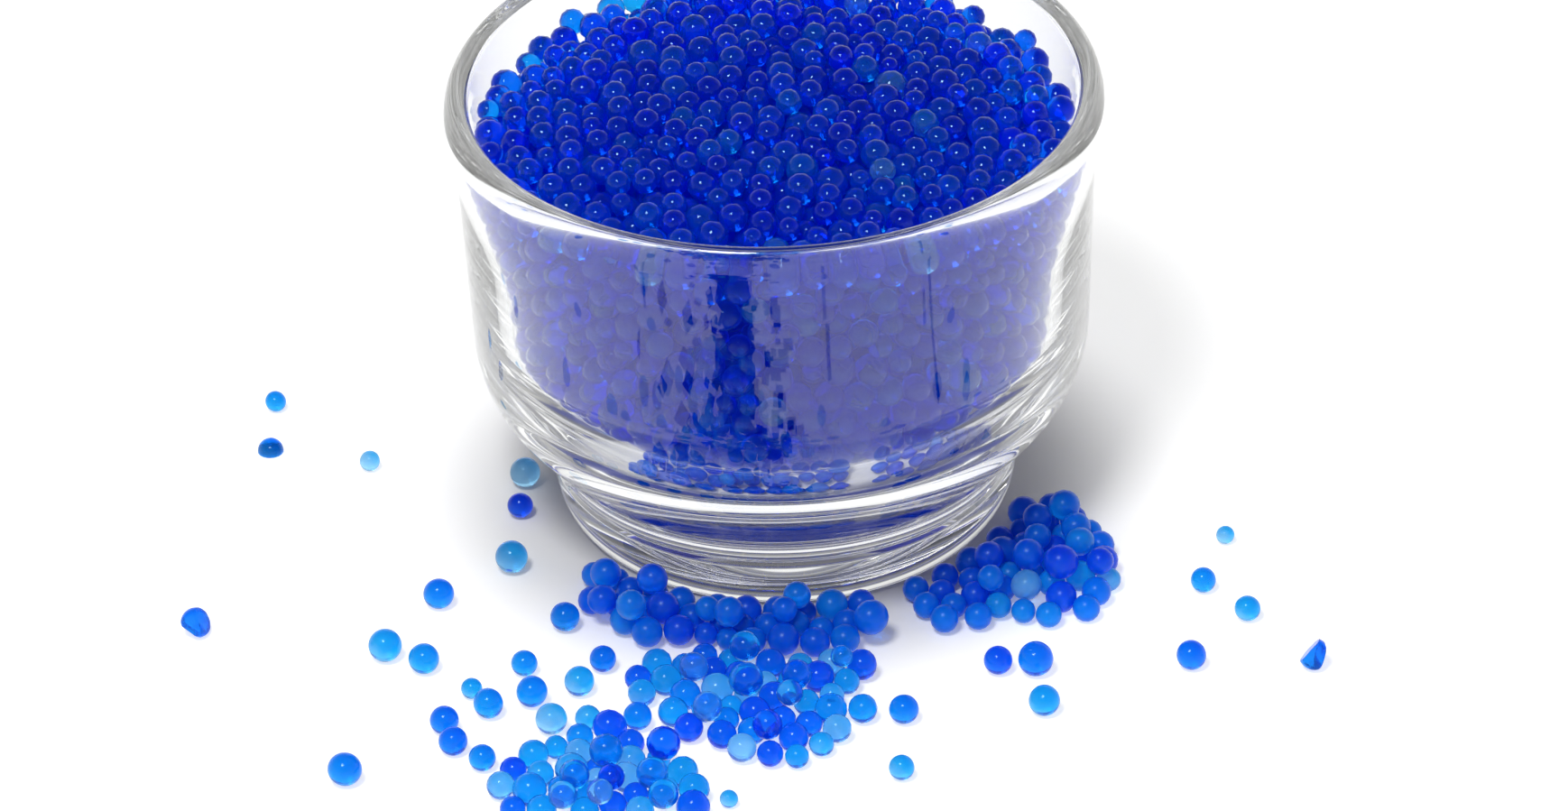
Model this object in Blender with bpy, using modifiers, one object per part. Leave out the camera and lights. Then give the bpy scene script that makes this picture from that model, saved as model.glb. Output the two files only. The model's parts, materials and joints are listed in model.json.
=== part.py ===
"""Desiccant dish: an open bowl of thick pressed glass, heaped with blue indicating silica gel beads,
with more beads spilled round its foot.

Units are metres and +Z is up. The origin is the centre of the foot's underside, on the table. The side
that faces a viewer is -Y.
"""

import itertools
import math

import bmesh
import bpy
from mathutils import Vector

# ---------------------------------------------------------------- driving dimensions
MM = 0.001

# the bowl, outside
RIM_RADIUS = 42.5 * MM            # widest ring, just under the lip
RIM_HEIGHT = 62.0 * MM            # crest of the lip above the table
LIP_WALL = 3.3 * MM               # thickness of the wall at the lip
LIP_OUTER_DROP = 3.4 * MM         # from the crest down to the widest ring
LIP_INNER_DROP = 2.5 * MM         # from the crest down to where the inner wall starts
FLARE = 0.9 * MM                  # how far the rim stands out from the drafted wall
FLARE_LENGTH = 13.0 * MM          # length of wall that the flare takes
WALL_DRAFT = 0.044                # outward slope of the outer wall, radius per height
SHOULDER_HEIGHT = 27.3 * MM       # where the wall starts to curve under
SHOULDER_ROUND = 16.6 * MM        # radius of that curve
UNDERCUT_ANGLE = math.radians(43.0)
WAIST_RADIUS = 30.2 * MM          # narrowest ring, at the waist line
WAIST_ROUND = 4.0 * MM            # hollow curve that leads into the waist
WAIST_HEIGHT = 7.65 * MM          # height of the foot
FOOT_LIP = 0.29 * MM              # how far the foot stands out from the waist
FOOT_BOTTOM_ROUND = 3.05 * MM     # how far the foot's rounding comes in at the table

# the bowl, inside
FLOOR_HEIGHT = 10.95 * MM         # top of the solid glass base
INNER_DRAFT = 0.089               # slope of the inner wall, radius per height
INNER_CORNER = 23.75 * MM         # radius of the round corner between floor and wall

# the silica gel
BEAD_DIAMETER = 3.8 * MM          # nominal bead
CHARGE_BELOW_RIM = 4.5 * MM       # from the lip's crest down to the charge at the wall
CHARGE_CROWN = 4.0 * MM           # how much higher the charge is in the middle
CHARGE_LIFT_CLEAR = 0.35 * MM     # gap between the charge and the glass
HEAP_LAYER = 1.0                  # height of a spilled heap, in nominal beads
HEAP_EDGE_ROUND = 0.9 * MM
SPILL_CLEAR = 0.4 * MM            # gap between spilled pieces and the foot, and between each other

# resolution
TURN_STEPS = 48
LIP_POINTS = 5
CORNER_POINTS = 12
CROWN_POINTS = 6
BEAD_SUBDIVISIONS = 2
ARC_STEP = math.radians(6.0)

FOOT_RADIUS = WAIST_RADIUS + FOOT_LIP

# Heaps: an azimuth in degrees about the bowl's axis (+X is 0, the front is -90) and the distance in
# millimetres from the foot's edge, walked round each heap's outer edge.
BAND_SPAN = (-143.0, -70.5)
BAND_EDGE = [(-72, 11.0), (-79, 11.6), (-87, 11.8), (-97, 10.6), (-108, 9.8), (-116, 12.6), (-124, 12.8),
             (-133, 9.6), (-140, 5.4)]
RIGHT_SPAN = (-65.0, -12.0)
RIGHT_EDGE = [(-13, 5.0), (-19, 11.5), (-25, 16.2), (-33, 20.5), (-42, 22.5), (-48, 20.0), (-51, 14.8),
              (-58, 13.6), (-63.5, 11.4)]
TRAIL_OUTLINE = [(-79, 12.8), (-76, 16.5), (-81, 20.0), (-79, 26.0), (-83, 30.5), (-90, 37.5), (-97, 37.0),
                 (-100, 31.5), (-106, 31.0), (-108, 25.5), (-114, 24.5), (-115, 19.5), (-113, 14.6),
                 (-107, 11.6), (-97, 12.2), (-88, 13.2)]
CORNER_OUTLINE = [(-115, 27.5), (-110, 31.0), (-107, 33.5), (-101.5, 37.0), (-99, 39.5), (-98, 48.5),
                  (-106, 50.0), (-116, 56.0), (-119.5, 48.5), (-119.5, 41.5), (-116.5, 35.5), (-117, 29.0)]

# Single spilled beads: azimuth in degrees, distance in millimetres from the foot's edge to the bead's
# centre, size in nominal beads, and its form. Each stands clear of every piece laid before it.
LEFT_BEADS = [(162, 41, 0.76, "round"), (170, 39, 0.95, "half"), (173, 25, 0.74, "round"),
              (177, 4, 1.1, "round"), (189, 5, 0.9, "round"), (207, 10, 1.18, "round"),
              (210, 22, 1.08, "round"), (202, 52, 1.1, "chip")]
FRONT_BEADS = [(-144, 34, 1.18, "round"), (-139, 32, 1.1, "round"), (-132, 13, 1.05, "round"),
               (-129, 24, 0.92, "round"), (-124, 29, 1.1, "round"), (-131, 32, 0.74, "round"),
               (-127, 34, 1.05, "round"), (-131, 56, 1.18, "round"), (-119, 33, 1.08, "round"),
               (-120, 24, 1.05, "round"), (-129, 40, 1.0, "round"), (-126, 43, 1.0, "round"),
               (-122, 44, 0.92, "round"), (-120, 18, 0.92, "round"), (-114, 30, 1.0, "round"),
               (-79, 39, 0.87, "round"), (-76, 27, 1.05, "round"), (-101, 44, 0.63, "round")]
RIGHT_BEADS = [(-60, 22, 1.0, "round"), (-56, 25, 1.24, "round"), (-60, 33, 1.1, "round"),
               (-42, 38, 1.05, "round"), (-28, 30, 0.9, "round"), (-17, 29, 0.66, "round"),
               (-31, 38, 0.92, "round"), (-35, 51, 1.1, "chip")]


# ---------------------------------------------------------------- scene and materials
def clear_scene():
    for thing in list(bpy.data.objects):
        bpy.data.objects.remove(thing, do_unlink=True)


def make_collection(name):
    collection = bpy.data.collections.new(name)
    bpy.context.scene.collection.children.link(collection)
    return collection


def clear_material(name, colour, roughness, index_of_refraction):
    """A see-through material: colour, roughness and refraction."""
    material = bpy.data.materials.new(name)
    material.use_nodes = True
    shader = material.node_tree.nodes["Principled BSDF"]
    shader.inputs["Base Color"].default_value = colour
    shader.inputs["Roughness"].default_value = roughness
    shader.inputs["Metallic"].default_value = 0.0
    shader.inputs["Transmission Weight"].default_value = 1.0
    shader.inputs["IOR"].default_value = index_of_refraction
    material.diffuse_color = colour
    return material


def add_mesh_object(name, mesh, material, collection):
    thing = bpy.data.objects.new(name, mesh)
    mesh.materials.append(material)
    collection.objects.link(thing)
    return thing


# ---------------------------------------------------------------- turned shapes
def arc(centre, radii, start, end, count):
    """Points on an ellipse quarter or arc from angle start to end, both included."""
    points = []
    for i in range(count + 1):
        angle = start + (end - start) * i / count
        points.append((centre[0] + radii[0] * math.cos(angle), centre[1] + radii[1] * math.sin(angle)))
    return points


def turned(name, profile, material, collection):
    """Turn a profile of (radius, height) points, listed down its outer side, about Z."""
    mesh = bpy.data.meshes.new(name)
    edges = [(i, i + 1) for i in range(len(profile) - 1)]
    mesh.from_pydata([(radius, 0.0, height) for radius, height in profile], edges, [])
    thing = add_mesh_object(name, mesh, material, collection)
    screw = thing.modifiers.new("turn", "SCREW")
    screw.axis = "Z"
    screw.steps = TURN_STEPS
    screw.render_steps = TURN_STEPS
    screw.use_merge_vertices = True
    screw.merge_threshold = 0.01 * MM
    screw.use_smooth_shade = True
    return thing


def inner_wall(inset, top):
    """The bowl's inner surface as (radius, height), from the axis out and up to the height top.

    A flat floor, a wide round corner that touches both floor and wall, and the drafted wall. The inset
    moves all of it in from the glass by the same amount.
    """
    slope = math.atan(INNER_DRAFT)
    lip_height = RIM_HEIGHT - LIP_INNER_DROP
    mouth_radius = RIM_RADIUS - LIP_WALL
    corner_height = FLOOR_HEIGHT + INNER_CORNER
    corner_radius = mouth_radius - INNER_DRAFT * (lip_height - corner_height) - INNER_CORNER / math.cos(slope)
    corner_size = INNER_CORNER - inset
    points = [(0.0, FLOOR_HEIGHT + inset)]
    points += arc((corner_radius, corner_height), (corner_size, corner_size), -0.5 * math.pi, -slope,
                  CORNER_POINTS)
    top_radius = mouth_radius - INNER_DRAFT * (lip_height - top) - inset / math.cos(slope)
    points.append((top_radius, top))
    return points


def outer_side():
    """The bowl's outer surface as (radius, height), from the widest ring down to the table."""
    ring_height = RIM_HEIGHT - LIP_OUTER_DROP
    shoulder_radius = RIM_RADIUS - FLARE - WALL_DRAFT * (ring_height - SHOULDER_HEIGHT)
    points = []
    flare_bottom = ring_height - FLARE_LENGTH
    for i in range(1, 5):
        along = 1.0 - i / 4.0
        height = flare_bottom + along * FLARE_LENGTH
        wall = shoulder_radius + WALL_DRAFT * (height - SHOULDER_HEIGHT)
        points.append((wall + FLARE * along ** 2, height))
    shoulder_centre = (shoulder_radius - SHOULDER_ROUND, SHOULDER_HEIGHT)
    points += arc(shoulder_centre, (SHOULDER_ROUND, SHOULDER_ROUND), 0.0, -UNDERCUT_ANGLE, 6)
    waist_centre = (WAIST_RADIUS + WAIST_ROUND, WAIST_HEIGHT)
    points += arc(waist_centre, (WAIST_ROUND, WAIST_ROUND), math.pi - UNDERCUT_ANGLE, math.pi, 4)
    foot_centre = (FOOT_RADIUS - FOOT_BOTTOM_ROUND, WAIST_HEIGHT - FOOT_LIP)
    points += arc(foot_centre, (FOOT_BOTTOM_ROUND, WAIST_HEIGHT - FOOT_LIP), 0.0, -0.5 * math.pi, 5)
    return points


def build_bowl(material, collection):
    """Inner floor and wall, up over the rounded lip, down the outside, and across the foot."""
    crest_radius = RIM_RADIUS - 0.5 * LIP_WALL
    half_wall = 0.5 * LIP_WALL
    profile = inner_wall(0.0, RIM_HEIGHT - LIP_INNER_DROP)[:-1]
    profile += arc((crest_radius, RIM_HEIGHT - LIP_INNER_DROP), (half_wall, LIP_INNER_DROP),
                   math.pi, 0.5 * math.pi, LIP_POINTS)
    profile += arc((crest_radius, RIM_HEIGHT - LIP_OUTER_DROP), (half_wall, LIP_OUTER_DROP),
                   0.5 * math.pi, 0.0, LIP_POINTS)[1:]
    profile += outer_side()
    profile.append((0.0, 0.0))
    return turned("glass_bowl", profile, material, collection)


def build_charge(material, collection):
    """The bead fill as one bulk solid: it follows the glass at a clearance, and its top is crowned."""
    edge_height = RIM_HEIGHT - CHARGE_BELOW_RIM
    wall = inner_wall(CHARGE_LIFT_CLEAR, edge_height)
    edge_radius = wall[-1][0]
    crown = []
    for i in range(CROWN_POINTS, 0, -1):
        radius = edge_radius * (i - 1) / CROWN_POINTS
        crown.append((radius, edge_height + CHARGE_CROWN * (1.0 - (radius / edge_radius) ** 2)))
    profile = list(reversed(wall + crown))
    return turned("bead_charge", profile, material, collection)


# ---------------------------------------------------------------- spilled heaps
def on_table(azimuth, gap):
    """A point on the table at an azimuth in degrees and a distance in metres from the foot's edge."""
    angle = math.radians(azimuth)
    reach = FOOT_RADIUS + gap
    return Vector((reach * math.cos(angle), reach * math.sin(angle)))


def hugging_outline(span, edge):
    """A crescent: its inner edge follows the foot at a clearance, its outer edge goes through edge."""
    count = max(2, round(math.radians(span[1] - span[0]) / ARC_STEP))
    inner = [on_table(span[0] + (span[1] - span[0]) * i / count, 1.5 * SPILL_CLEAR) for i in range(count + 1)]
    return inner + [on_table(azimuth, gap * MM) for azimuth, gap in edge]


def free_outline(points):
    return [on_table(azimuth, gap * MM) for azimuth, gap in points]


def build_heap(name, outline, material, collection):
    """A low slab over a flat outline, about one bead high, with its top edge rounded."""
    curve = bpy.data.curves.new(name, "CURVE")
    curve.dimensions = "2D"
    curve.fill_mode = "BOTH"
    curve.extrude = 0.5 * HEAP_LAYER * BEAD_DIAMETER
    spline = curve.splines.new("POLY")
    spline.points.add(len(outline) - 1)
    for slot, point in zip(spline.points, outline):
        slot.co = (point.x, point.y, 0.0, 1.0)
    spline.use_cyclic_u = True
    guide = bpy.data.objects.new(name + "_outline", curve)
    guide.location.z = curve.extrude
    collection.objects.link(guide)
    bpy.context.view_layer.update()
    depsgraph = bpy.context.evaluated_depsgraph_get()
    mesh = bpy.data.meshes.new_from_object(guide.evaluated_get(depsgraph))
    mesh.transform(guide.matrix_world)
    bpy.data.objects.remove(guide, do_unlink=True)
    close_caps(mesh)
    heap = add_mesh_object(name, mesh, material, collection)
    rounding = heap.modifiers.new("rounded edge", "BEVEL")
    rounding.width = HEAP_EDGE_ROUND
    rounding.segments = 2
    rounding.limit_method = "ANGLE"
    rounding.angle_limit = math.radians(60.0)
    rounding.use_clamp_overlap = True
    return heap


def close_caps(mesh):
    """Weld the caps of a filled curve to its sides, and merge each cap into one flat face."""
    shape = bmesh.new()
    shape.from_mesh(mesh)
    bmesh.ops.remove_doubles(shape, verts=shape.verts, dist=0.001 * MM)
    bmesh.ops.dissolve_limit(shape, angle_limit=math.radians(1.0), verts=shape.verts, edges=shape.edges)
    bmesh.ops.recalc_face_normals(shape, faces=shape.faces)
    shape.to_mesh(mesh)
    shape.free()


# ---------------------------------------------------------------- single beads
def distance_to_outline(point, outline):
    """Distance from a point to a closed outline, nought inside it."""
    inside = False
    nearest = math.inf
    for a, b in zip(outline, outline[1:] + outline[:1]):
        if (a.y > point.y) != (b.y > point.y):
            crossing = a.x + (point.y - a.y) / (b.y - a.y) * (b.x - a.x)
            inside ^= point.x < crossing
        side = b - a
        along = max(0.0, min(1.0, (point - a).dot(side) / side.length_squared))
        nearest = min(nearest, (point - a - along * side).length)
    return 0.0 if inside else nearest


def is_clear(spot, radius, outlines, laid):
    """True if a bead at spot stands clear of the foot, the heaps and the beads laid already."""
    if spot.length < FOOT_RADIUS + radius + SPILL_CLEAR:
        return False
    if any(distance_to_outline(spot, outline) < radius + SPILL_CLEAR for outline in outlines):
        return False
    return all((spot - other).length >= radius + reach + SPILL_CLEAR for other, reach in laid)


def clear_spot(azimuth, gap, radius, outlines, laid):
    """The clear place nearest to the wanted one, looked for in widening rings round it."""
    wanted = on_table(azimuth, gap)
    step = 0.25 * BEAD_DIAMETER
    for ring in itertools.count():
        turns = max(1, 6 * ring)
        for i in range(turns):
            angle = 2.0 * math.pi * i / turns
            spot = wanted + ring * step * Vector((math.cos(angle), math.sin(angle)))
            if is_clear(spot, radius, outlines, laid):
                return spot


def cut_bead(shape, point, normal):
    """Break a piece off a bead along a plane, and close the flat that this leaves."""
    geometry = shape.verts[:] + shape.edges[:] + shape.faces[:]
    cut = bmesh.ops.bisect_plane(shape, geom=geometry, plane_co=point, plane_no=normal, clear_outer=True)
    rim = [piece for piece in cut["geom_cut"] if isinstance(piece, bmesh.types.BMEdge)]
    bmesh.ops.holes_fill(shape, edges=rim, sides=0)


def bead_mesh(name, radius, form):
    """A ball; a half bead lies on its flat, and a chip has lost a cap and one side."""
    shape = bmesh.new()
    bmesh.ops.create_icosphere(shape, subdivisions=BEAD_SUBDIVISIONS, radius=radius)
    if form == "half":
        cut_bead(shape, Vector((0.0, 0.0, -0.1 * radius)), Vector((0.0, 0.0, -1.0)))
    if form == "chip":
        cut_bead(shape, Vector((0.0, 0.0, -0.45 * radius)), Vector((0.0, 0.0, -1.0)))
        cut_bead(shape, Vector((0.35 * radius, 0.0, 0.0)), Vector((0.8, 0.2, 0.55)))
    lowest = min(vert.co.z for vert in shape.verts)
    bmesh.ops.translate(shape, verts=shape.verts, vec=(0.0, 0.0, -lowest))
    bmesh.ops.recalc_face_normals(shape, faces=shape.faces)
    mesh = bpy.data.meshes.new(name)
    shape.to_mesh(mesh)
    shape.free()
    mesh.shade_smooth()
    return mesh


def lay_beads(group, beads, outlines, laid, material, collection, parent):
    for number, (azimuth, gap, size, form) in enumerate(beads, start=1):
        name = f"{group}_bead_{number:02d}"
        radius = 0.5 * size * BEAD_DIAMETER
        spot = clear_spot(azimuth, gap * MM, radius, outlines, laid)
        laid.append((spot, radius))
        bead = add_mesh_object(name, bead_mesh(name, radius, form), material, collection)
        bead.location = (spot.x, spot.y, 0.0)
        bead.parent = parent


# ---------------------------------------------------------------- the whole dish
def add_axis(name, collection):
    """An empty at the origin that a moving group hangs from."""
    empty = bpy.data.objects.new(name, None)
    empty.empty_display_size = 10.0 * MM
    collection.objects.link(empty)
    return empty


def main():
    clear_scene()
    parts = make_collection("desiccant_dish")
    glass = clear_material("clear_glass", (0.94, 0.96, 0.95, 1.0), 0.02, 1.5)
    gel = clear_material("blue_gel", (0.02, 0.12, 0.72, 1.0), 0.05, 1.45)

    build_bowl(glass, parts)
    charge = build_charge(gel, parts)
    charge.parent = add_axis("charge_axis", parts)

    front = add_axis("front_spill_axis", parts)
    right = add_axis("right_spill_axis", parts)
    left = add_axis("left_spill_axis", parts)
    heaps = [("front_band_heap", hugging_outline(BAND_SPAN, BAND_EDGE), front),
             ("front_trail_heap", free_outline(TRAIL_OUTLINE), front),
             ("front_corner_heap", free_outline(CORNER_OUTLINE), front),
             ("right_heap", hugging_outline(RIGHT_SPAN, RIGHT_EDGE), right)]
    for name, outline, parent in heaps:
        build_heap(name, outline, gel, parts).parent = parent

    outlines = [outline for name, outline, parent in heaps]
    laid = []
    lay_beads("left", LEFT_BEADS, outlines, laid, gel, parts, left)
    lay_beads("front", FRONT_BEADS, outlines, laid, gel, parts, front)
    lay_beads("right", RIGHT_BEADS, outlines, laid, gel, parts, right)


main()
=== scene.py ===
"""Looks of the desiccant dish: a thick pressed-glass bowl full of translucent blue silica gel beads,
with more beads spilled round its foot.

Units are metres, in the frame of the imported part: +Z up, the origin under the middle of the foot, and the
viewer's side at -Y. Every bead is a small ball of its own. The balls are settled by a short relaxation, in
which overlapping balls push each other apart and stay between the glass and the crown, or on the table.
"""

import json
import math

import bpy
import numpy as np
from mathutils import Matrix, Vector

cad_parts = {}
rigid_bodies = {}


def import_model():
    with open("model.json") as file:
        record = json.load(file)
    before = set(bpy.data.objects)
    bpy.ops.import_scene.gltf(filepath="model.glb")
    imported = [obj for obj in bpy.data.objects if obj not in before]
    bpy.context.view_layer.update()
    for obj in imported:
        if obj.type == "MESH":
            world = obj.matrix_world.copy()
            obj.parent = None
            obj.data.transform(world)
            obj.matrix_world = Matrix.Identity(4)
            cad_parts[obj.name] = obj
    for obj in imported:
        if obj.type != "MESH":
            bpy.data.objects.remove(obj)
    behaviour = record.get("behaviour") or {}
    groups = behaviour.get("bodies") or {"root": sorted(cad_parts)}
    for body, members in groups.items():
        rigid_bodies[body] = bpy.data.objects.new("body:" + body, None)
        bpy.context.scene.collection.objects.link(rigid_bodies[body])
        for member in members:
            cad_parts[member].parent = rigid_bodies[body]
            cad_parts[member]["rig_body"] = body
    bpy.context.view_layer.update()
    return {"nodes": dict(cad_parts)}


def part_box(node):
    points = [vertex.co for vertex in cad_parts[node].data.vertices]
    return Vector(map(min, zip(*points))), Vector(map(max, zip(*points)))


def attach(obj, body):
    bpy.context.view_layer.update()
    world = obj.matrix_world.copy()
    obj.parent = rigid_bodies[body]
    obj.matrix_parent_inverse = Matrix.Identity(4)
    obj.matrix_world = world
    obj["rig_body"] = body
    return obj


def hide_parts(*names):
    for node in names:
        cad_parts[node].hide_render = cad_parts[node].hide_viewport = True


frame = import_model()

MM = 0.001

# ---------------------------------------------------------------- sizes taken from the bowl's own making
RIM_RADIUS = 42.5 * MM
RIM_HEIGHT = 62.0 * MM
LIP_WALL = 3.3 * MM
LIP_OUTER_DROP = 3.4 * MM
LIP_INNER_DROP = 2.5 * MM
FLARE = 0.9 * MM
FLARE_LENGTH = 13.0 * MM
WALL_DRAFT = 0.044
SHOULDER_HEIGHT = 27.3 * MM
SHOULDER_ROUND = 16.6 * MM
UNDERCUT_ANGLE = math.radians(43.0)
WAIST_RADIUS = 30.2 * MM
WAIST_ROUND = 4.0 * MM
WAIST_HEIGHT = 7.65 * MM
FOOT_LIP = 0.29 * MM
FOOT_BOTTOM_ROUND = 3.05 * MM
FLOOR_HEIGHT = 10.95 * MM
INNER_DRAFT = 0.089
INNER_CORNER = 23.75 * MM
BOWL_TURN_STEPS = 256

# ---------------------------------------------------------------- sizes of the beads
SMALLEST_BEAD = 2.6 * MM
LARGEST_BEAD = 4.7 * MM
MEAN_BEAD = 3.75 * MM
BEAD_SPREAD = 0.42 * MM
GLASS_GAP = 0.12 * MM             # least gap between a bead and the glass
CHARGE_BELOW_RIM = 4.5 * MM
CHARGE_CROWN = 4.0 * MM
CHARGE_FILL = 0.60                # share of the charge's space that its beads take
SHOWN_DEPTH = 2.3 * MEAN_BEAD     # beads deeper than this are left to the dark core
CORE_DEPTH = 2.0 * MEAN_BEAD
CROWN_WAVES = 0.5 * MM            # how uneven the charge's crown is
CHARGE_TRIES = 120000             # random spots that the charge's beads are picked from
CHARGE_ROUNDS = 160               # rounds of the relaxation
HEAP_TRIES = 20000
HEAP_ROUNDS = 200
SETTLE_STEP = 0.12 * MM           # first step of the pull; it shrinks to nothing
PUSH_GAIN = 1.6                   # how far past the mean push a ball is moved
CHARGE_BEAD_CUTS = 3              # squares along one side of a bead's cube
HEAP_BEAD_CUTS = 4
SINGLE_BEAD_CUTS = 8
SEED = 20


# ---------------------------------------------------------------- meshes
def new_object(name, points, faces, material):
    """A smooth mesh object from an array of points (n, 3) and an array of faces (m, 3 or 4)."""
    mesh = bpy.data.meshes.new(name)
    corners = faces.shape[1]
    mesh.vertices.add(len(points))
    mesh.vertices.foreach_set("co", np.ascontiguousarray(points, np.float32).ravel())
    mesh.loops.add(faces.size)
    mesh.loops.foreach_set("vertex_index", np.ascontiguousarray(faces, np.int32).ravel())
    mesh.polygons.add(len(faces))
    mesh.polygons.foreach_set("loop_start", np.arange(0, faces.size, corners, dtype=np.int32))
    mesh.update(calc_edges=True)
    mesh.validate()
    mesh.shade_smooth()
    mesh.materials.append(material)
    thing = bpy.data.objects.new(name, mesh)
    bpy.context.scene.collection.objects.link(thing)
    return thing


def set_attribute(thing, name, values):
    """One number for each point, which the material reads."""
    attribute = thing.data.attributes.new(name, "FLOAT", "POINT")
    attribute.data.foreach_set("value", np.ascontiguousarray(values, np.float32))


def revolve(profile, steps):
    """Points and triangles of a closed profile turned about Z. The profile is (radius, height), runs down
    its outer side and starts and ends on the axis, where each end becomes one pole with a fan of triangles."""
    ring = profile[1:-1]
    angle = 2.0 * np.pi * np.arange(steps) / steps
    points = np.stack([ring[:, None, 0] * np.cos(angle), ring[:, None, 0] * np.sin(angle),
                       np.broadcast_to(ring[:, None, 1], (len(ring), steps))], -1).reshape(-1, 3)
    row, column = np.meshgrid(np.arange(len(ring) - 1), np.arange(steps), indexing="ij")
    right = (column + 1) % steps
    quads = np.stack([row * steps + column, (row + 1) * steps + column,
                      (row + 1) * steps + right, row * steps + right], -1).reshape(-1, 4)
    top, bottom = len(points), len(points) + 1
    poles = np.array([[0.0, 0.0, profile[0, 1]], [0.0, 0.0, profile[-1, 1]]])
    column = np.arange(steps)
    right = (column + 1) % steps
    last = (len(ring) - 1) * steps
    fans = np.concatenate([np.stack([np.full(steps, top), column, right], -1),
                           np.stack([np.full(steps, bottom), last + right, last + column], -1)])
    halves = np.concatenate([quads[:, [0, 1, 2]], quads[:, [0, 2, 3]], fans])
    return np.concatenate([points, poles]), halves


def ball(cuts):
    """A unit ball as a cube whose six faces are cut into cuts by cuts squares and blown up to the sphere.
    Edge points are shared, so it is one closed skin of 6 * cuts * cuts quads."""
    step = np.linspace(-1.0, 1.0, cuts + 1)
    bent = np.tan(step * np.pi / 4.0)
    u, v = np.meshgrid(bent, bent, indexing="ij")
    one = np.ones_like(u)
    sides = [(one, u, v), (-one, v, u), (v, one, u), (u, -one, v), (u, v, one), (v, u, -one)]
    points = np.concatenate([np.stack(side, -1).reshape(-1, 3) for side in sides])
    points /= np.linalg.norm(points, axis=1, keepdims=True)
    row, column = np.meshgrid(np.arange(cuts), np.arange(cuts), indexing="ij")
    corner = row * (cuts + 1) + column
    square = np.stack([corner, corner + cuts + 1, corner + cuts + 2, corner + 1], -1).reshape(-1, 4)
    faces = np.concatenate([square + side * (cuts + 1) ** 2 for side in range(6)])
    keys = np.round(points * 1e5).astype(np.int64)
    unused, first, back = np.unique(keys, axis=0, return_index=True, return_inverse=True)
    return points[first], back.reshape(-1)[faces]


def turns(count, rng):
    """Random rotation matrices (count, 3, 3), from unit quaternions."""
    w, x, y, z = (lambda q: (q / np.linalg.norm(q, axis=1, keepdims=True)).T)(rng.normal(size=(count, 4)))
    rows = [[1 - 2 * (y * y + z * z), 2 * (x * y - z * w), 2 * (x * z + y * w)],
            [2 * (x * y + z * w), 1 - 2 * (x * x + z * z), 2 * (y * z - x * w)],
            [2 * (x * z - y * w), 2 * (y * z + x * w), 1 - 2 * (x * x + y * y)]]
    return np.moveaxis(np.array(rows), -1, 0)


def bead_cloud(name, centres, radii, tints, cuts, material, rng, painted_light_lean=0.05, cut=()):
    """Many balls as one mesh. Each is the unit ball, made a few percent oval, turned at random, scaled to its
    radius and moved to its centre. A ball's tint falls from its lower left to its upper right by the given
    amount:
    painted light that leaves its lower side paler. Each cut is a direction and a distance: whatever stands
    past that plane is pressed flat onto it."""
    points, faces = ball(cuts)
    oval = 1.0 - 0.05 * rng.random((len(centres), 1, 3))
    turned = np.einsum("nij,npj->npi", turns(len(centres), rng), points[None] * oval)
    for direction, distance in cut:
        way = np.array(direction) / np.linalg.norm(direction)
        turned = turned - np.maximum(turned @ way - distance, 0.0)[..., None] * way
    cloud = centres[:, None] + radii[:, None, None] * turned
    # painted light: each ball's tint is paler towards its lower left
    tint = np.clip(tints[:, None] - painted_light_lean * (turned @ np.array([0.6, 0.3, 0.7])), 0.0, 1.0)
    all_faces = (faces[None] + (np.arange(len(centres)) * len(points))[:, None, None]).reshape(-1, 4)
    thing = new_object(name, cloud.reshape(-1, 3), all_faces, material)
    set_attribute(thing, "tint", tint.ravel())
    return thing


# ---------------------------------------------------------------- the bowl's outline
def arc(centre, radii, start, end, count):
    """Points on an ellipse from angle start to end, both included."""
    angle = np.linspace(start, end, count + 1)
    return np.stack([centre[0] + radii[0] * np.cos(angle), centre[1] + radii[1] * np.sin(angle)], -1)


def inner_wall(count):
    """The inner surface as (radius, height) from the axis up to the lip: a flat floor, a wide round corner
    that touches both the floor and the wall, and the drafted wall."""
    slope = math.atan(INNER_DRAFT)
    top = RIM_HEIGHT - LIP_INNER_DROP
    height = FLOOR_HEIGHT + INNER_CORNER
    centre = RIM_RADIUS - LIP_WALL - INNER_DRAFT * (top - height) - INNER_CORNER / math.cos(slope)
    corner = arc((centre, height), (INNER_CORNER, INNER_CORNER), -0.5 * math.pi, -slope, count)
    floor = np.stack([np.linspace(0.0, centre, 8)[:-1], np.full(7, FLOOR_HEIGHT)], -1)
    rise = np.linspace(0.0, 1.0, 10)[1:, None]
    wall = corner[-1] + rise * (np.array([RIM_RADIUS - LIP_WALL, top]) - corner[-1])
    return np.concatenate([floor, corner, wall])


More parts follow.
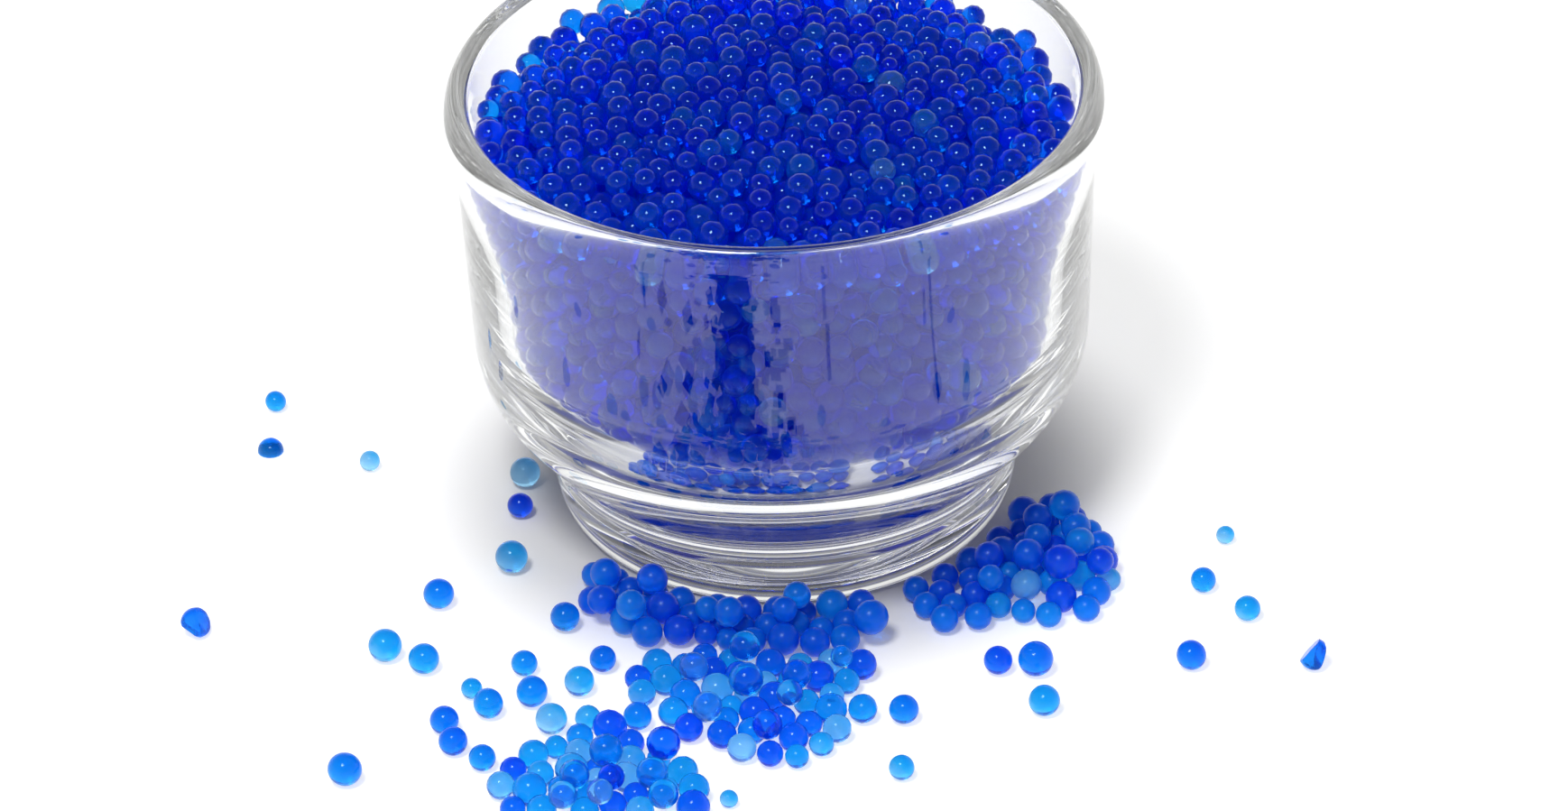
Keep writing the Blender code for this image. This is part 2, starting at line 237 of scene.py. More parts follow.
def outer_side():
    """The outer surface from just under the widest ring: a flared, drafted wall, a round shoulder, a hollow
    waist and a foot that rounds in to the table."""
    ring_height = RIM_HEIGHT - LIP_OUTER_DROP
    shoulder_radius = RIM_RADIUS - FLARE - WALL_DRAFT * (ring_height - SHOULDER_HEIGHT)
    flare_bottom = ring_height - FLARE_LENGTH
    along = np.linspace(1.0, 0.0, 15)[1:]
    height = flare_bottom + along * FLARE_LENGTH
    drafted = shoulder_radius + WALL_DRAFT * (height - SHOULDER_HEIGHT)
    flare = np.stack([drafted + FLARE * along ** 2, height], -1)
    height = np.linspace(flare_bottom, SHOULDER_HEIGHT, 12)[1:-1]
    wall = np.stack([shoulder_radius + WALL_DRAFT * (height - SHOULDER_HEIGHT), height], -1)
    shoulder = arc((shoulder_radius - SHOULDER_ROUND, SHOULDER_HEIGHT), (SHOULDER_ROUND, SHOULDER_ROUND),
                   0.0, -UNDERCUT_ANGLE, 28)
    waist = arc((WAIST_RADIUS + WAIST_ROUND, WAIST_HEIGHT), (WAIST_ROUND, WAIST_ROUND),
                math.pi - UNDERCUT_ANGLE, math.pi, 16)
    foot_radius = WAIST_RADIUS + FOOT_LIP
    foot = arc((foot_radius - FOOT_BOTTOM_ROUND, WAIST_HEIGHT - FOOT_LIP),
               (FOOT_BOTTOM_ROUND, WAIST_HEIGHT - FOOT_LIP), 0.0, -0.5 * math.pi, 24)
    under = np.stack([np.linspace(foot_radius - FOOT_BOTTOM_ROUND, 0.0, 12)[1:], np.zeros(11)], -1)
    return np.concatenate([flare, wall, shoulder, waist, foot, under])


def bowl_profile():
    """The whole closed outline, from the floor up the inside, over the lip and down the outside."""
    half = 0.5 * LIP_WALL
    crest = RIM_RADIUS - half
    up, out = 0.5 * math.pi, 0.0
    lip_in = arc((crest, RIM_HEIGHT - LIP_INNER_DROP), (half, LIP_INNER_DROP), math.pi, up, 14)
    lip_out = arc((crest, RIM_HEIGHT - LIP_OUTER_DROP), (half, LIP_OUTER_DROP), up, out, 14)
    return np.concatenate([inner_wall(70)[:-1], lip_in, lip_out[1:], outer_side()])


# ---------------------------------------------------------------- settling the beads
def near_pairs(centres, reach):
    """Index pairs of all balls whose cells, on a cubic grid of side reach, are the same or touch."""
    cell = np.floor(centres / reach).astype(np.int64)
    cell -= cell.min(0) - 1
    size = cell.max(0) + 2
    key = (cell[:, 0] * size[1] + cell[:, 1]) * size[2] + cell[:, 2]
    order = np.argsort(key, kind="stable")
    in_order = key[order]
    ways = [(x, y, z) for x in (-1, 0, 1) for y in (-1, 0, 1) for z in (-1, 0, 1)]
    firsts, seconds = [], []
    for x, y, z in [way for way in ways if way >= (0, 0, 0)]:
        wanted = key + (x * size[1] + y) * size[2] + z
        start = np.searchsorted(in_order, wanted, "left")
        count = np.searchsorted(in_order, wanted, "right") - start
        i = np.repeat(np.arange(len(key)), count)
        place = np.arange(len(i)) - np.repeat(np.cumsum(count) - count, count)
        j = order[np.repeat(start, count) + place]
        keep = i < j if (x, y, z) == (0, 0, 0) else slice(None)
        firsts.append(i[keep])
        seconds.append(j[keep])
    return np.concatenate(firsts), np.concatenate(seconds)


def push_apart(centres, radii, first, second):
    """Move every overlapping pair apart along the line between them; a ball takes the mean of its pushes."""
    line = centres[first] - centres[second]
    distance = np.maximum(np.linalg.norm(line, axis=1), 1e-9)
    overlap = radii[first] + radii[second] - distance
    hit = overlap > 0.0
    first, second = first[hit], second[hit]
    push = line[hit] * (0.5 * overlap[hit] / distance[hit])[:, None]
    moved = np.zeros_like(centres)
    touches = np.bincount(first, minlength=len(centres)) + np.bincount(second, minlength=len(centres))
    for axis in range(3):
        moved[:, axis] = (np.bincount(first, push[:, axis], len(centres))
                          - np.bincount(second, push[:, axis], len(centres)))
    return centres + moved * (PUSH_GAIN / np.maximum(touches, PUSH_GAIN))[:, None]


def settle(centres, radii, pull, keep_in, rounds):
    """Relax the balls: a shrinking step along pull, then push apart, then keep inside, and so on."""
    for turn in range(rounds):
        if turn % 5 == 0:
            first, second = near_pairs(centres, 2.0 * radii.max() + 0.6 * MM)
        strength = SETTLE_STEP * (1.0 - turn / rounds) ** 1.5
        centres = centres + strength * pull(centres)
        centres = push_apart(centres, radii, first, second)
        centres = keep_in(centres, radii)
    return centres


def bead_radii(count, rng):
    diameter = np.clip(rng.normal(MEAN_BEAD, BEAD_SPREAD, count), SMALLEST_BEAD, LARGEST_BEAD)
    return 0.5 * diameter


def charge_edge_radius(height):
    """Inner radius of the drafted wall at a height."""
    return RIM_RADIUS - LIP_WALL - INNER_DRAFT * (RIM_HEIGHT - LIP_INNER_DROP - height)


def wall_gap(radius, height):
    """Signed distance from points (radius, height) to the inner surface, and its direction into the bowl.
    The nearest point is looked for on the segments of the turned outline."""
    line = inner_wall(48)
    a, b = line[:-1], line[1:]
    side = b - a
    length2 = (side ** 2).sum(1)
    point = np.stack([radius, height], -1)
    along = np.clip(((point[:, None] - a) * side).sum(-1) / length2, 0.0, 1.0)
    off = point[:, None] - (a + along[..., None] * side)
    distance = np.linalg.norm(off, axis=-1)
    best = distance.argmin(1)
    pick = np.arange(len(point))
    normal = np.stack([-side[:, 1], side[:, 0]], -1) / np.sqrt(length2)[:, None]
    inward = normal[best]
    signed = (off[pick, best] * inward).sum(-1)
    past_end = np.abs(signed) < distance[pick, best] - 1e-12
    return np.where(past_end, np.sign(signed) * distance[pick, best], signed), inward


def charge_top(radius):
    """Height of the charge's crown at a distance from the axis."""
    edge_height = RIM_HEIGHT - CHARGE_BELOW_RIM
    share = radius / charge_edge_radius(edge_height)
    return edge_height + CHARGE_CROWN * (1.0 - share ** 2)


def charge_depths(centres, rough=0.0):
    """Depth of points under the glass side and under the crown. The crown is made uneven by a few low waves
    of height rough."""
    radius = np.hypot(centres[:, 0], centres[:, 1])
    gap, inward = wall_gap(radius, centres[:, 2])
    waves = (np.sin(centres[:, 0] / (2.9 * MM) + 1.0) * np.sin(centres[:, 1] / (3.4 * MM) + 2.0)
             + 0.7 * np.sin((centres[:, 0] + 0.6 * centres[:, 1]) / (1.7 * MM)))
    return gap, inward, charge_top(radius) + rough * waves - centres[:, 2]


def pour_charge(rng):
    """Balls in the outer layers of the charge, under the crown, along the glass and on the floor. They start
    at random there, as many as fill it, and push each other apart."""
    edge_radius = charge_edge_radius(RIM_HEIGHT - CHARGE_BELOW_RIM)
    high = RIM_HEIGHT - CHARGE_BELOW_RIM + CHARGE_CROWN
    tries = rng.random((CHARGE_TRIES, 3))
    angle = 2.0 * np.pi * tries[:, 0]
    radius = edge_radius * np.sqrt(tries[:, 1])
    spot = np.stack([radius * np.cos(angle), radius * np.sin(angle),
                     FLOOR_HEIGHT + tries[:, 2] * (high - FLOOR_HEIGHT)], -1)
    gap, unused, under = charge_depths(spot)
    depth = np.minimum(gap, under)
    share = ((depth > 0.0) & (depth < SHOWN_DEPTH + 0.5 * MEAN_BEAD)).mean()
    volume = np.pi * edge_radius ** 2 * (high - FLOOR_HEIGHT) * share
    radii = bead_radii(9000, rng)
    count = int(np.searchsorted(np.cumsum(4.0 / 3.0 * np.pi * radii ** 3), CHARGE_FILL * volume))
    radii = radii[:count]
    spot = spot[(depth > 0.5 * MEAN_BEAD) & (depth < SHOWN_DEPTH)][:count]

    def no_pull(centres):
        return np.zeros_like(centres)

    def in_layers(centres, radii):
        gap, inward, under = charge_depths(centres, CROWN_WAVES)
        radius = np.maximum(np.hypot(centres[:, 0], centres[:, 1]), 1e-9)
        short = np.maximum(radii + GLASS_GAP - gap, 0.0)
        deep = np.minimum(gap, under) - SHOWN_DEPTH
        side = (gap < under) & (deep > 0.0)
        short = np.where(side, -deep, short)
        moved = centres.copy()
        moved[:, :2] += (short * inward[:, 0] / radius)[:, None] * centres[:, :2]
        moved[:, 2] += short * inward[:, 1]
        moved[:, 2] -= np.maximum(radii - under, 0.0)
        moved[:, 2] += np.where(side, 0.0, np.maximum(deep, 0.0))
        return moved

    return settle(spot, radii, no_pull, in_layers, CHARGE_ROUNDS), radii


def footprint(node):
    """The outline of a heap's CAD solid on the table, as segments (n, 2, 2): the edges of its mesh that lie
    level at the foot of its upright side."""
    mesh = frame["nodes"][node].data
    points = np.empty(len(mesh.vertices) * 3, np.float32)
    mesh.vertices.foreach_get("co", points)
    points = points.reshape(-1, 3).astype(float)
    ends = np.empty(len(mesh.edges) * 2, np.int32)
    mesh.edges.foreach_get("vertices", ends)
    ends = ends.reshape(-1, 2)
    heights = np.unique(np.round(points[:, 2] / (0.01 * MM)).astype(int)) * 0.01 * MM
    level = heights[len(heights) // 2 - 1]
    at_level = np.abs(points[:, 2] - level) < 0.02 * MM
    flat = points[ends[at_level[ends].all(1)]][:, :, :2]
    flat = flat[np.linalg.norm(flat[:, 0] - flat[:, 1], axis=1) > 1e-6]
    unused, once = np.unique(np.round(flat.mean(1) / (0.01 * MM)), axis=0, return_index=True)
    return flat[once]


def outline_gap(point, outline):
    """Signed distance from points (n, 2) to an outline, positive inside, and the way inwards. Inside is by
    counting crossings of a ray to the side."""
    a, b = outline[:, 0], outline[:, 1]
    side = b - a
    along = np.clip(((point[:, None] - a) * side).sum(-1) / (side ** 2).sum(1), 0.0, 1.0)
    off = point[:, None] - (a + along[..., None] * side)
    distance = np.linalg.norm(off, axis=-1)
    best = distance.argmin(1)
    pick = np.arange(len(point))
    y = point[:, None, 1]
    spans = (a[:, 1] > y) != (b[:, 1] > y)
    rise = np.where(np.abs(side[:, 1]) < 1e-12, 1e-12, side[:, 1])
    crossing = a[:, 0] + (y - a[:, 1]) / rise * side[:, 0]
    inside = (spans & (point[:, None, 0] < crossing)).sum(1) % 2 == 1
    gap = distance[pick, best]
    inward = off[pick, best] / np.maximum(gap, 1e-9)[:, None]
    sign = np.where(inside, 1.0, -1.0)
    return sign * gap, sign[:, None] * inward


def spread_heap(node, cover, rng):
    """Balls that lie in a heap's footprint. They start at random over it, a little above the table, and are
    pulled down; cover is the share of the footprint that their discs would take."""
    outline = footprint(node)
    low, high = outline.reshape(-1, 2).min(0), outline.reshape(-1, 2).max(0)
    tries = low + rng.random((HEAP_TRIES, 2)) * (high - low)
    gap, unused = outline_gap(tries, outline)
    area = np.prod(high - low) * (gap > 0.0).mean()
    radii = bead_radii(2000, rng)
    count = int(np.searchsorted(np.cumsum(np.pi * radii ** 2), cover * area))
    radii = radii[:count]
    flat = tries[gap > 0.4 * MEAN_BEAD][:count]
    spot = np.concatenate([flat, radii[:, None] * (1.0 + 1.6 * rng.random((count, 1)))], 1)

    def pull(centres):
        return np.concatenate([np.zeros((len(centres), 2)), -np.ones((len(centres), 1))], 1)

    def on_table(centres, radii):
        gap, inward = outline_gap(centres[:, :2], outline)
        short = np.maximum(0.92 * radii - gap, 0.0)
        moved = centres.copy()
        moved[:, :2] += short[:, None] * inward
        moved[:, 2] = np.maximum(moved[:, 2], radii)
        return moved

    return settle(spot, radii, pull, on_table, HEAP_ROUNDS), radii


# ---------------------------------------------------------------- materials
def node_material(name):
    material = bpy.data.materials.new(name)
    material.use_nodes = True
    nodes = material.node_tree.nodes
    return material, nodes, material.node_tree.links, nodes["Principled BSDF"]


def object_noise(nodes, links, scale, detail):
    place = nodes.new("ShaderNodeTexCoord")
    noise = nodes.new("ShaderNodeTexNoise")
    noise.inputs["Scale"].default_value = scale
    noise.inputs["Detail"].default_value = detail
    links.new(place.outputs["Object"], noise.inputs["Vector"])
    return noise.outputs["Fac"]


def add_bump(nodes, links, shader, height, strength, distance):
    bump = nodes.new("ShaderNodeBump")
    bump.inputs["Strength"].default_value = strength
    bump.inputs["Distance"].default_value = distance
    links.new(height, bump.inputs["Height"])
    links.new(bump.outputs["Normal"], shader.inputs["Normal"])


def pressed_glass():
    """Clear glass, with the slow waviness that a mould leaves."""
    material, nodes, links, shader = node_material("pressed_glass")
    shader.inputs["Base Color"].default_value = (0.975, 0.985, 0.98, 1.0)
    shader.inputs["Roughness"].default_value = 0.0
    shader.inputs["IOR"].default_value = 1.5
    shader.inputs["Transmission Weight"].default_value = 1.0
    add_bump(nodes, links, shader, object_noise(nodes, links, 80.0, 0.0), 0.15, 0.05 * MM)
    return material


GEL_TINTS = [(0.0, (0.003, 0.030, 0.96)), (0.30, (0.005, 0.095, 0.985)), (0.55, (0.003, 0.25, 0.99)),
             (0.78, (0.012, 0.45, 0.985)), (1.0, (0.36, 0.72, 0.98))]

GEL_SHEEN = (0.55, 0.80, 1.0, 1.0)   # colour of the beads' reflections
GEL_PAINTED_GLOW = (0.0, 0.0006, 0.0115, 1.0)   # a faint painted glow, for light that wanders inside a heap


def silica_gel(name, roughness, clearness):
    """A glassy blue bead. Its tint comes from the bead's own number, which also carries painted light, and is
    broken up by faint clouds. The part of it that isn't clear scatters light in the same colour. It also gives
    a faint painted glow."""
    material, nodes, links, shader = node_material(name)
    tint = nodes.new("ShaderNodeAttribute")
    tint.attribute_name = "tint"
    clouds = object_noise(nodes, links, 700.0, 2.0)
    shift = nodes.new("ShaderNodeMath")
    shift.operation = "MULTIPLY_ADD"
    shift.inputs[1].default_value = 0.16
    links.new(clouds, shift.inputs[0])
    links.new(tint.outputs["Fac"], shift.inputs[2])
    ramp = nodes.new("ShaderNodeValToRGB")
    links.new(shift.outputs["Value"], ramp.inputs["Fac"])
    stops = ramp.color_ramp.elements
    stops[0].position = GEL_TINTS[0][0]
    stops[1].position = GEL_TINTS[-1][0]
    for position, colour in GEL_TINTS[1:-1]:
        stops.new(position)
    for stop, (position, colour) in zip(stops, GEL_TINTS):
        stop.position = position
        stop.color = (*colour, 1.0)
    links.new(ramp.outputs["Color"], shader.inputs["Base Color"])
    shader.inputs["Roughness"].default_value = roughness
    shader.inputs["IOR"].default_value = 1.36
    shader.inputs["Specular Tint"].default_value = GEL_SHEEN
    shader.inputs["Transmission Weight"].default_value = clearness
    # painted glow: the beads glow faintly though no lamp is in them
    shader.inputs["Emission Color"].default_value = GEL_PAINTED_GLOW
    shader.inputs["Emission Strength"].default_value = 1.0
    return material


def charge_core():
    """The dark inside of the charge, seen only in the gaps between beads."""
    material, nodes, links, shader = node_material("charge_core")
    ramp = nodes.new("ShaderNodeValToRGB")
    links.new(object_noise(nodes, links, 400.0, 2.0), ramp.inputs["Fac"])
    ramp.color_ramp.elements[0].color = (0.0, 0.02, 0.95, 1.0)
    ramp.color_ramp.elements[1].color = (0.002, 0.05, 1.0, 1.0)
    links.new(ramp.outputs["Color"], shader.inputs["Base Color"])
    shader.inputs["Roughness"].default_value = 0.5
    return material


# ---------------------------------------------------------------- pieces
def make_bowl():
    points, faces = revolve(bowl_profile(), BOWL_TURN_STEPS)
    bowl = new_object("pressed_glass_bowl", points, faces, pressed_glass())
    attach(bowl, "bowl")
    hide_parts("glass_bowl")


def make_charge(gel, rng):
    centres, radii = pour_charge(rng)
    wall_depth, unused, top_depth = charge_depths(centres)
    tints = np.clip(rng.normal(0.34, 0.10, len(centres)), 0.05, 1.0)
    light = rng.random(len(centres))
    tints = np.where(light < 0.05, rng.uniform(0.55, 0.85, len(centres)), tints)
    on_top = top_depth < SHOWN_DEPTH + 0.5 * MEAN_BEAD
    first = None
    for name, chosen in [("charge_top_beads", on_top), ("charge_wall_beads", ~on_top)]:
        cloud = bead_cloud(name, centres[chosen], radii[chosen], tints[chosen], CHARGE_BEAD_CUTS, gel, rng)
        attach(cloud, "charge")
        first = first or cloud
    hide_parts("bead_charge")
    make_core()


def make_core():
    """The charge's dark middle: the bowl's inner outline and the crown, both drawn in by the core's depth."""
    wall = inner_wall(40) + np.array([-CORE_DEPTH, CORE_DEPTH])
    edge_height = RIM_HEIGHT - CHARGE_BELOW_RIM - CORE_DEPTH
    wall = wall[(wall[:, 0] > 0.0) & (wall[:, 1] < edge_height - 0.5 * MM)]
    radius = np.linspace(0.0, wall[-1, 0], 12)
    crown = np.stack([radius, edge_height + CHARGE_CROWN * (1.0 - (radius / radius[-1]) ** 2)], -1)
    bottom = np.array([[0.0, wall[0, 1]]])
    profile = np.concatenate([crown, wall[::-1], bottom])
    points, faces = revolve(profile, 48)
    core = new_object("charge_core", points, faces, charge_core())
    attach(core, "charge")


def heap_tints(centres, near, far, rng):
    """Tints that go from near, at the foot, to far, a heap's width away, with a few deep and pale beads. The
    deeper tint near the foot is painted shade under the bowl.
    """
    out = np.hypot(centres[:, 0], centres[:, 1]) - WAIST_RADIUS
    # painted shade: beads nearer the foot take the deeper tint
    tints = near + (far - near) * np.clip(out / HEAP_WIDTH, 0.0, 1.0) + rng.normal(0.0, 0.07, len(centres))
    kind = rng.random(len(centres))
    tints = np.where((kind < 0.22) & (out > 0.5 * HEAP_WIDTH), rng.uniform(0.24, 0.38, len(centres)), tints)
    tints = np.where((kind > 0.88) & (out > HEAP_WIDTH), rng.uniform(0.72, 0.86, len(centres)), tints)
    return np.clip(tints, 0.05, 1.0)


def make_heap(node, body, cover, near, far, gel, rng):
    centres, radii = spread_heap(node, cover, rng)
    tints = heap_tints(centres, near, far, rng)
    cloud = bead_cloud(node + "_beads", centres, radii, tints, HEAP_BEAD_CUTS, gel, rng)
    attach(cloud, body)
    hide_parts(node)


HEAP_WIDTH = 13.0 * MM
STRAY_TINTS = {     # in the order of their numbers
    "left": (0.62, 0.58, 0.84, 0.88, 0.20, 0.76, 0.48, 0.42),
    "front": (0.68, 0.62, 0.50, 0.57, 0.53, 0.68, 0.57, 0.50, 0.80, 0.72, 0.42, 0.42, 0.55, 0.44, 0.50, 0.70,
              0.48, 0.74),
    "right": (0.28, 0.42, 0.66, 0.40, 0.58, 0.78, 0.68, 0.42)}
HALF_LENS = [((0.0, 0.0, -1.0), 0.05)]
LEFT_CHIP = [((-0.6, -0.2, -0.8), 0.55), ((0.9, -0.3, 0.5), 0.45), ((-0.2, -0.9, 0.3), 0.65)]
RIGHT_CHIP = [((0.9, 0.2, -0.4), 0.35), ((-0.7, 0.3, 0.6), 0.40), ((0.1, -0.9, 0.4), 0.55)]
BROKEN = {"left_bead_02": HALF_LENS, "left_bead_08": LEFT_CHIP, "right_bead_08": RIGHT_CHIP}


def lower_to_table(mesh):
    """Move a mesh straight down or up, so that its lowest point is on the table."""
    points = np.empty(3 * len(mesh.vertices), np.float32)
    mesh.vertices.foreach_get("co", points)
    points[2::3] -= points[2::3].min()
    mesh.vertices.foreach_set("co", points)


def make_single_beads(gel, rng):
    """Each single bead takes the place and size of its CAD node. Broken ones are the same ball, cut flat."""
    for node in sorted(frame["nodes"]):
        if "_bead_" not in node:
            continue
        side, unused, number = node.split("_")
        low, high = (np.array(corner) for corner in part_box(node))
        radius = 0.5 * (high - low)[:2].max()
        centre = 0.5 * (low + high)
        tint = STRAY_TINTS[side][int(number) - 1]
        # single beads get a stronger painted light, paler towards their lower left
        bead = bead_cloud(node + "_gel", centre[None], np.array([radius]), np.array([tint]),
                          SINGLE_BEAD_CUTS, gel, rng, painted_light_lean=0.14, cut=BROKEN.get(node, ()))
        lower_to_table(bead.data)
        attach(bead, frame["nodes"][node]["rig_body"])
        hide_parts(node)


# ---------------------------------------------------------------- stage, light and camera
CAMERA_TILT = math.radians(32.8)     # how far the view looks down
CAMERA_ROLL = math.radians(-1.9)
CAMERA_DISTANCE = 1.2
CAMERA_LENS = 210.0
LOOK_AT = Vector((0.0, 0.0, 12.3 * MM))
TABLE_GAP = 0.03 * MM                # the table lies this far under the foot, so that the two never coincide
# round the foot the table's glow fades out, a painted shade; under the foot the table gets a painted navy
# shade and a faint painted glow
TABLE_GLOW = 0.62
PAINTED_SHADE_FADE = 25.0 * MM
CONTACT_RADIUS = WAIST_RADIUS + FOOT_LIP - FOOT_BOTTOM_ROUND
NAVY_PAINTED_SHADE = (0.0, 0.015, 0.42, 1.0)
FOOT_PAINTED_GLOW = (0.001, 0.014, 0.16)


def table_glow_with_painted_shade(nodes, links, shader, distance):
    """Navy under the foot, dark round it, and white further out. The navy glow is painted light; the dark
    ring and the glow's slow rise outwards are painted shade round the foot.
    """
    share = nodes.new("ShaderNodeMath")
    share.operation = "DIVIDE"
    share.inputs[1].default_value = WAIST_RADIUS + PAINTED_SHADE_FADE
    links.new(distance, share.inputs[0])
    glow = nodes.new("ShaderNodeValToRGB")
    links.new(share.outputs["Value"], glow.inputs["Fac"])
    glow.color_ramp.interpolation = "EASE"
    levels = [(0.0, FOOT_PAINTED_GLOW), (CONTACT_RADIUS - 0.5 * MM, FOOT_PAINTED_GLOW),
              (CONTACT_RADIUS, (0.0, 0.0, 0.0)), (WAIST_RADIUS, (0.0, 0.0, 0.0)),
              (WAIST_RADIUS + PAINTED_SHADE_FADE, (TABLE_GLOW, TABLE_GLOW, TABLE_GLOW))]
    for radius, colour in levels[1:-1]:
        glow.color_ramp.elements.new(radius / (WAIST_RADIUS + PAINTED_SHADE_FADE))
    for stop, (radius, colour) in zip(glow.color_ramp.elements, levels):
        stop.position = radius / (WAIST_RADIUS + PAINTED_SHADE_FADE)
        stop.color = (*colour, 1.0)
    links.new(glow.outputs["Color"], shader.inputs["Emission Color"])
    shader.inputs["Emission Strength"].default_value = 1.0


def make_stage():
    """A wide white table. Away from the foot it glows a little, which keeps its shadows pale; the glow fades
    out towards the foot, a painted shade round it. Under the foot the table has a painted navy shade and a
    faint painted glow: they stand for light that has come down through the gel."""
    bpy.ops.mesh.primitive_plane_add(size=12.0, location=(0.0, 0.0, -TABLE_GAP))
    floor = bpy.context.object
    floor.name = "white_table"
    material, nodes, links, shader = node_material("white_table")
    shader.inputs["Roughness"].default_value = 0.9
    shader.inputs["Specular IOR Level"].default_value = 0.0
    place = nodes.new("ShaderNodeTexCoord")
    distance = nodes.new("ShaderNodeVectorMath")
    distance.operation = "LENGTH"
    links.new(place.outputs["Object"], distance.inputs[0])
    table_glow_with_painted_shade(nodes, links, shader, distance.outputs["Value"])
    # painted shade: the table's colour turns navy under the foot, for light that only comes down through the
    # gel
    under = nodes.new("ShaderNodeMapRange")
    under.inputs["From Min"].default_value = CONTACT_RADIUS - 1.0 * MM
    under.inputs["From Max"].default_value = CONTACT_RADIUS
    links.new(distance.outputs["Value"], under.inputs["Value"])
    ramp = nodes.new("ShaderNodeValToRGB")
    ramp.color_ramp.elements[0].color = NAVY_PAINTED_SHADE
    ramp.color_ramp.elements[1].color = (0.9, 0.9, 0.9, 1.0)
    links.new(under.outputs["Result"], ramp.inputs["Fac"])
    links.new(ramp.outputs["Color"], shader.inputs["Base Color"])
    floor.data.materials.append(material)


SKY = [(0.0, 1.0), (0.22, 1.0), (0.42, 0.35), (0.70, 0.25), (0.90, 0.10)]   # sine of elevation, brightness


def make_world():
    """White at the horizon, dimmer overhead."""
    world = bpy.data.worlds.new("studio")
    bpy.context.scene.world = world
    world.use_nodes = True
    nodes, links = world.node_tree.nodes, world.node_tree.links
    background = nodes["Background"]
    place = nodes.new("ShaderNodeTexCoord")
    split = nodes.new("ShaderNodeSeparateXYZ")
    ramp = nodes.new("ShaderNodeValToRGB")
    links.new(place.outputs["Generated"], split.inputs["Vector"])
    links.new(split.outputs["Z"], ramp.inputs["Fac"])
    links.new(ramp.outputs["Color"], background.inputs["Color"])
    stops = ramp.color_ramp.elements
    for position, level in SKY[2:]:
        stops.new(position)
    for stop, (position, level) in zip(stops, SKY):
        stop.position = position
        stop.color = (level, level, 0.98 * level, 1.0)
    background.inputs["Strength"].default_value = 1.0


STRIP = [(-66.0, -25.0, -7.0), (-88.0, -32.0, -14.0), (-124.0, -47.0, -23.0), (-146.0, -54.0, -28.0)]
THIN_STRIPS = [(-66.0, -70.0, -84.0), (22.0, -92.0, -112.0), (60.0, -58.0, -70.0)]
STRIP_ROWS = 34
SPECKS = 90
CARD_REACH = 12.0 * MM               # beads that lie nearer than this to the card don't see it
SPECK_SIZE = 3.6                     # millimetres


def make_painted_reflection_card(rng):
    """A painted dark reflection: a ragged dark sheet flat on the table in front of the view, one wide strip,
    three thin ones and specks round them. It takes the white table's reflection off upright strips of the
    bowl, where the beads then show in their full colour. Only reflections see it. Sizes are in millimetres."""
    nearest, left, right = np.array(STRIP).T
    row = np.linspace(nearest[0], nearest[-1], STRIP_ROWS)
    edges = np.stack([np.interp(-row, -nearest, left) + rng.normal(0.0, 1.8, STRIP_ROWS),
                      np.interp(-row, -nearest, right) + rng.normal(0.0, 1.8, STRIP_ROWS)], -1)
    corners = np.stack([edges, np.stack([row, row], -1)], -1).reshape(-1, 2)
    lower = np.arange(STRIP_ROWS - 1) * 2
    quads = np.stack([lower, lower + 1, lower + 3, lower + 2], -1)
    thin = np.array([[(x - 1, near), (x + 1, near), (1.2 * x + 1, far), (1.2 * x - 1, far)]
                     for x, near, far in THIN_STRIPS])
    y = rng.uniform(-104.0, -58.0, SPECKS)
    x = 0.30 * (y + 40.0) - 5.0 + rng.normal(0.0, 14.0, SPECKS)
    half = 0.5 * SPECK_SIZE * rng.uniform(0.6, 1.3, SPECKS)
    square = [(-1, -1), (1, -1), (1, 1), (-1, 1)]
    specks = np.stack([np.stack([x + a * half, y + b * half], -1) for a, b in square], 1)
    squares = np.concatenate([thin, specks])
    points = np.concatenate([corners, squares.reshape(-1, 2)])
    squares = len(corners) + np.arange(4 * len(squares)).reshape(-1, 4)
    material, nodes, links, shader = node_material("painted_reflection_sheet")
    # dark colour seen only in reflections: a painted reflection
    shader.inputs["Base Color"].default_value = (0.0, 0.015, 0.12, 1.0)
    shader.inputs["Roughness"].default_value = 1.0
    path = nodes.new("ShaderNodeLightPath")
    near = nodes.new("ShaderNodeMath")
    near.operation = "GREATER_THAN"
    near.inputs[1].default_value = CARD_REACH
    links.new(path.outputs["Ray Length"], near.inputs[0])
    links.new(near.outputs["Value"], shader.inputs["Alpha"])
    lift = np.full((len(points), 1), 0.2)
    points = np.concatenate([points, lift], -1) * MM
    card = new_object("painted_reflection_sheet", points, np.concatenate([quads, squares]), material)
    card.visible_camera = False
    card.visible_diffuse = False
    card.visible_shadow = False


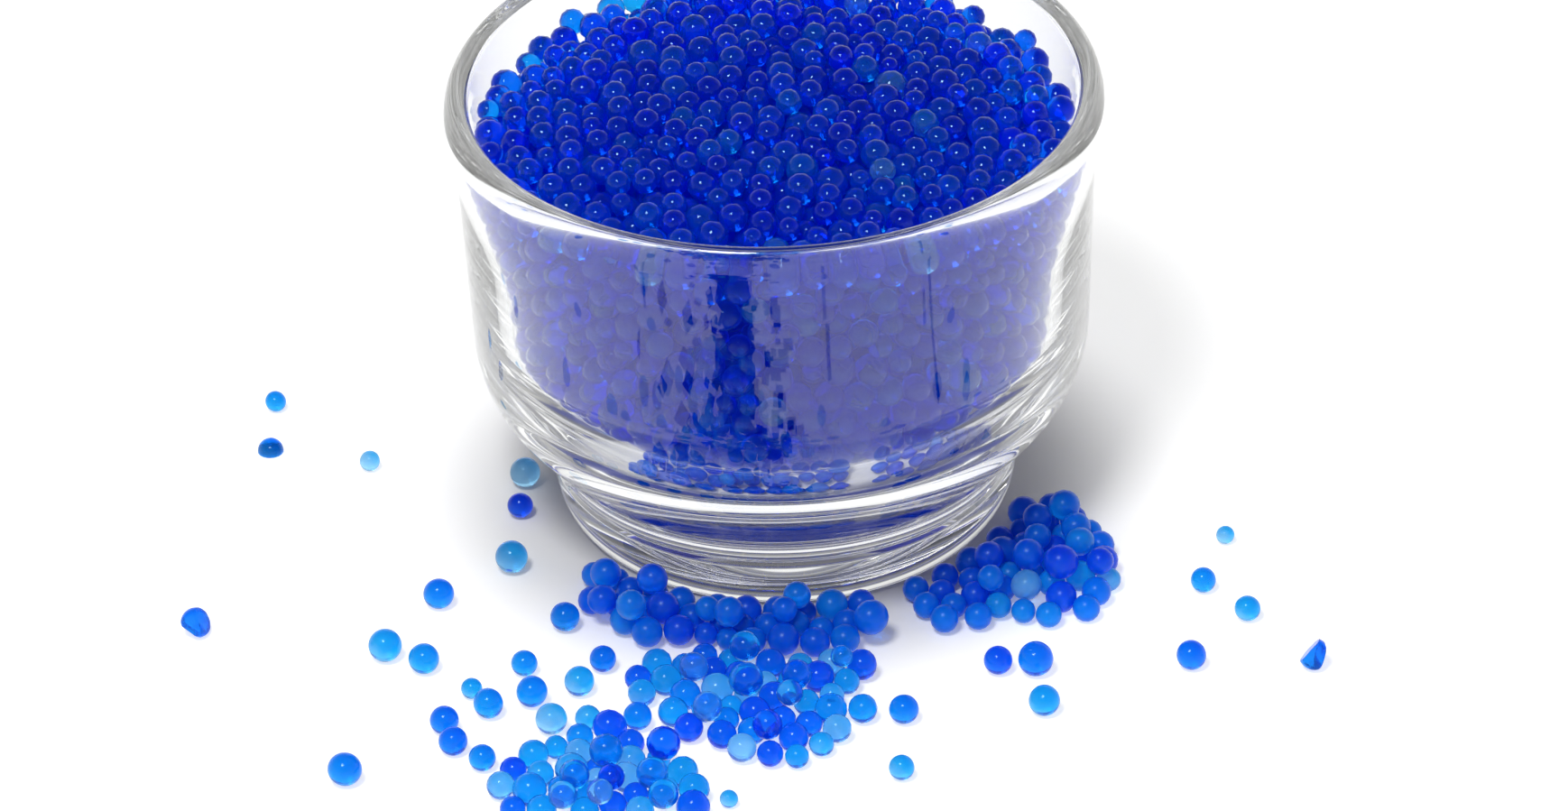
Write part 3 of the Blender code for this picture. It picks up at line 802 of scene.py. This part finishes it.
def make_light(name, place, size, power):
    lamp = bpy.data.lights.new(name, "AREA")
    lamp.shape = "DISK"
    lamp.size = size
    lamp.energy = power
    thing = bpy.data.objects.new(name, lamp)
    thing.location = place
    thing.rotation_euler = (-Vector(place)).to_track_quat("-Z", "Y").to_euler()
    thing.visible_camera = False
    bpy.context.scene.collection.objects.link(thing)


def make_camera():
    camera = bpy.data.cameras.new("camera")
    camera.lens = CAMERA_LENS
    camera.sensor_width = 36.0
    thing = bpy.data.objects.new("camera", camera)
    forward = Vector((0.0, math.cos(CAMERA_TILT), -math.sin(CAMERA_TILT)))
    thing.location = LOOK_AT - CAMERA_DISTANCE * forward
    thing.rotation_euler = (forward.to_track_quat("-Z", "Y").to_matrix()
                            @ Matrix.Rotation(CAMERA_ROLL, 3, "Z")).to_euler()
    bpy.context.scene.collection.objects.link(thing)
    bpy.context.scene.camera = thing


def set_up_render():
    scene = bpy.context.scene
    scene.view_settings.view_transform = "Standard"
    scene.cycles.use_denoising = True
    scene.cycles.max_bounces = 24
    scene.cycles.transmission_bounces = 24
    scene.cycles.glossy_bounces = 24
    scene.cycles.diffuse_bounces = 4
    scene.cycles.sample_clamp_indirect = 6.0


# ---------------------------------------------------------------- all of it
def main():
    rng = np.random.default_rng(SEED)
    clear_gel = silica_gel("silica_gel", 0.03, 0.88)
    dusty_gel = silica_gel("dusty_silica_gel", 0.14, 0.86)
    matte_gel = silica_gel("matte_silica_gel", 0.30, 0.60)
    make_camera()
    make_bowl()
    make_charge(clear_gel, rng)
    # each heap's first tint, at the foot, is deeper: painted shade under the bowl
    make_heap("front_band_heap", "front_spill", 1.05, 0.32, 0.54, matte_gel, rng)
    make_heap("front_trail_heap", "front_spill", 0.90, 0.38, 0.64, dusty_gel, rng)
    make_heap("front_corner_heap", "front_spill", 0.95, 0.46, 0.68, dusty_gel, rng)
    make_heap("right_heap", "right_spill", 1.05, 0.22, 0.54, matte_gel, rng)
    make_single_beads(dusty_gel, rng)
    make_stage()
    make_painted_reflection_card(rng)
    make_world()
    make_light("softbox", (-0.20, -0.46, 0.87), 0.26, 4.6)
    set_up_render()


main()
